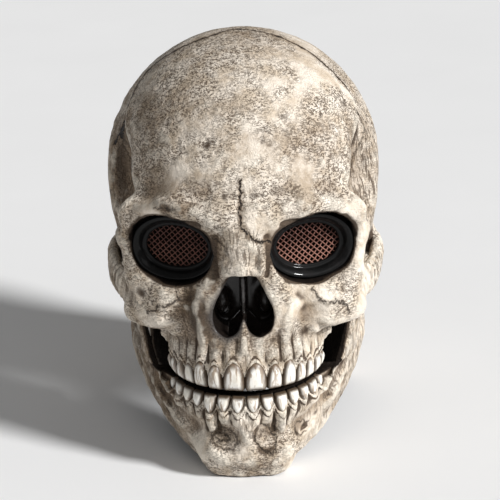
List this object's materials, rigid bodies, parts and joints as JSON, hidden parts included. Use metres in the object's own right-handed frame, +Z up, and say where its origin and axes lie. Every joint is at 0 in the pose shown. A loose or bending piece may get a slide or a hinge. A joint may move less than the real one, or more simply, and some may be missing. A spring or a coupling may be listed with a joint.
{
  "type": "skull mask",
  "caption": "Full-head skull mask: hollow cast skull with hinged jaw, rows of teeth, dark rims and see-through mesh in the eye sockets, open neck.",
  "frame": {"origin": "on the ground under the middle of the mask's overall box", "axes": "+Z up from chin and neck rim to crown, face looks along -Y, +X towards the mask's left-hand cheek (right in the picture)"},
  "size_m": [0.1712, 0.2213, 0.252],
  "materials": {
    "bone_latex": "matte painted cream bone with brown-grey stains and dark cracks",
    "black_rim": "smooth satin black",
    "dark_mesh": "dark fine diamond mesh",
    "rivet_metal": "dark blackened rivet"
  },
  "bodies": {
    "skull": {"skull_shell": "bone_latex", "eye_rim_left": "black_rim", "eye_rim_right": "black_rim", "eye_mesh_left": "dark_mesh", "eye_mesh_right": "dark_mesh", "jaw_rivet_left": "rivet_metal", "jaw_rivet_right": "rivet_metal"},
    "jaw": {"jaw_shell": "bone_latex"}
  },
  "joints": [
    {"name": "jaw_hinge", "type": "hinge", "parent": "skull", "child": "jaw", "pos_m": [0, 0, 0.098], "axis": [1, 0, 0], "range_deg": [0, 14]}
  ]
}
